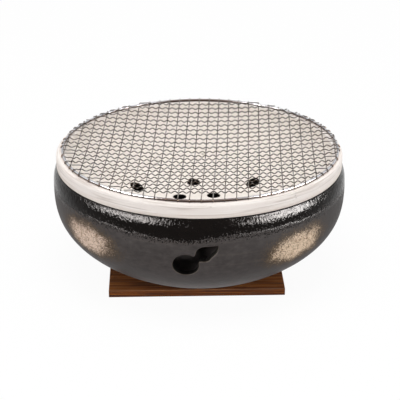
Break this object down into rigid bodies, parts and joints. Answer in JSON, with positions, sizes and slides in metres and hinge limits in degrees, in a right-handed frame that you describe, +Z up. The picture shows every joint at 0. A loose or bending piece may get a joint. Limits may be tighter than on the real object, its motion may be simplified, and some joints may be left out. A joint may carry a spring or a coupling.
{
  "type": "charcoal brazier",
  "caption": "Round tabletop charcoal brazier: glazed stoneware shell on a wooden board, with a white pierced fire bowl and a woven wire grilling net.",
  "frame": {"origin": "on the brazier's vertical axis, level with the underside of the board it stands on", "axes": "+Z up through the net, -Y towards the front with the air vent, +X to the right seen from the front"},
  "size_m": [0.286, 0.286, 0.1268],
  "materials": {
    "board": "dark reddish-brown stain, satin, fine straight grain",
    "shell": "dark brown-grey stoneware glaze, glossy at the shoulder and satin below, with two speckled beige patches",
    "bowl": "matt warm white refractory",
    "net": "galvanised steel wire"
  },
  "bodies": {
    "board": {"base_board": "board"},
    "shell": {"outer_shell": "shell"},
    "fire_bowl": {"fire_bowl": "bowl"},
    "net": {"net_ring": "net", "net_warp_01": "net", "net_warp_02": "net", "net_warp_03": "net", "net_warp_04": "net", "net_warp_05": "net", "net_warp_06": "net", "net_warp_07": "net", "net_warp_08": "net", "net_warp_09": "net", "net_warp_10": "net", "net_warp_11": "net", "net_warp_12": "net", "net_warp_13": "net", "net_warp_14": "net", "net_warp_15": "net", "net_warp_16": "net", "net_warp_17": "net", "net_warp_18": "net", "net_warp_19": "net", "net_warp_20": "net", "net_warp_21": "net", "net_warp_22": "net", "net_warp_23": "net", "net_warp_24": "net", "net_warp_25": "net", "net_warp_26": "net", "net_weft_01": "net", "net_weft_02": "net", "net_weft_03": "net", "net_weft_04": "net", "net_weft_05": "net", "net_weft_06": "net", "net_weft_07": "net", "net_weft_08": "net", "net_weft_09": "net", "net_weft_10": "net", "net_weft_11": "net", "net_weft_12": "net", "net_weft_13": "net", "net_weft_14": "net", "net_weft_15": "net", "net_weft_16": "net", "net_weft_17": "net", "net_weft_18": "net", "net_weft_19": "net", "net_weft_20": "net", "net_weft_21": "net", "net_weft_22": "net", "net_weft_23": "net", "net_weft_24": "net"}
  },
  "joints": [
    {"name": "brazier_lift", "type": "slide", "parent": "board", "child": "shell", "axis": [0, 0, 1], "range_m": [0, 0.12]},
    {"name": "fire_bowl_lift", "type": "slide", "parent": "shell", "child": "fire_bowl", "axis": [0, 0, 1], "range_m": [0, 0.12]},
    {"name": "net_lift", "type": "slide", "parent": "fire_bowl", "child": "net", "axis": [0, 0, 1], "range_m": [0, 0.1]}
  ]
}
